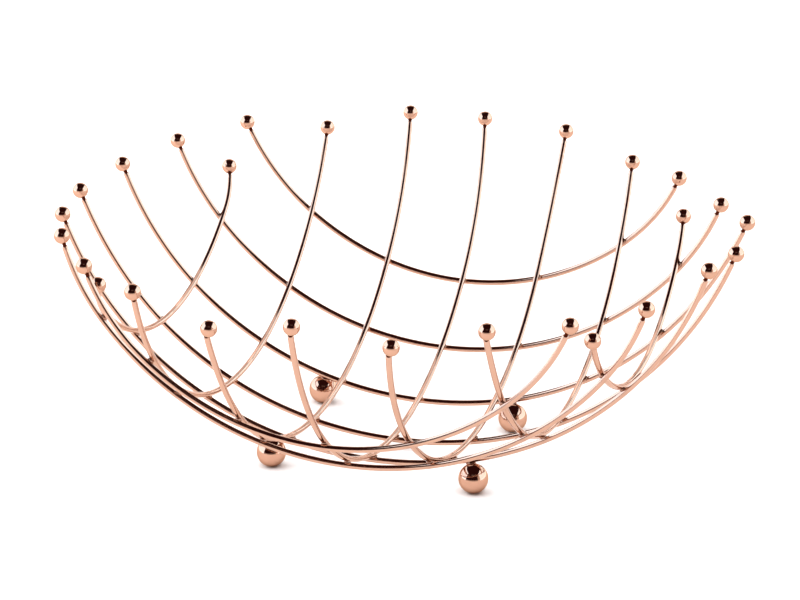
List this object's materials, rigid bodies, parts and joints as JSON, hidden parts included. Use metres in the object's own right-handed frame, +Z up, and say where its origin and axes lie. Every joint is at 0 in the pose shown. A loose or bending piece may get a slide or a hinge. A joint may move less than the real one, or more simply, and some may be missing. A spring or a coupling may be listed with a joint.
{
  "type": "wire produce basket",
  "caption": "Shallow round produce basket of crossing bent wires, with a ball on every wire tip around an open rim, standing on ball feet.",
  "frame": {"origin": "on the surface that the basket stands on, under the middle of the bowl", "axes": "+Z up out of the bowl; the inner layer's wires run along Y and the outer layer's along X; the front is -Y"},
  "size_m": [0.348, 0.3434, 0.1319],
  "materials": {
    "wire": "polished copper-coloured plating on steel wire",
    "tip_ball": "mirror-polished copper-coloured plating on steel balls",
    "foot": "mirror-polished copper-coloured plating on steel balls"
  },
  "bodies": {
    "root": {"inner_wire_1": "wire", "inner_wire_2": "wire", "inner_wire_3": "wire", "inner_wire_4": "wire", "inner_wire_5": "wire", "inner_wire_6": "wire", "inner_wire_7": "wire", "outer_wire_1": "wire", "outer_wire_2": "wire", "outer_wire_3": "wire", "outer_wire_4": "wire", "outer_wire_5": "wire", "outer_wire_6": "wire", "outer_wire_7": "wire", "inner_ball_1_front": "tip_ball", "inner_ball_1_back": "tip_ball", "inner_ball_2_front": "tip_ball", "inner_ball_2_back": "tip_ball", "inner_ball_3_front": "tip_ball", "inner_ball_3_back": "tip_ball", "inner_ball_4_front": "tip_ball", "inner_ball_4_back": "tip_ball", "inner_ball_5_front": "tip_ball", "inner_ball_5_back": "tip_ball", "inner_ball_6_front": "tip_ball", "inner_ball_6_back": "tip_ball", "inner_ball_7_front": "tip_ball", "inner_ball_7_back": "tip_ball", "outer_ball_1_left": "tip_ball", "outer_ball_1_right": "tip_ball", "outer_ball_2_left": "tip_ball", "outer_ball_2_right": "tip_ball", "outer_ball_3_left": "tip_ball", "outer_ball_3_right": "tip_ball", "outer_ball_4_left": "tip_ball", "outer_ball_4_right": "tip_ball", "outer_ball_5_left": "tip_ball", "outer_ball_5_right": "tip_ball", "outer_ball_6_left": "tip_ball", "outer_ball_6_right": "tip_ball", "outer_ball_7_left": "tip_ball", "outer_ball_7_right": "tip_ball", "foot_front_left": "foot", "foot_front_right": "foot", "foot_back_left": "foot", "foot_back_right": "foot"}
  },
  "joints": []
}
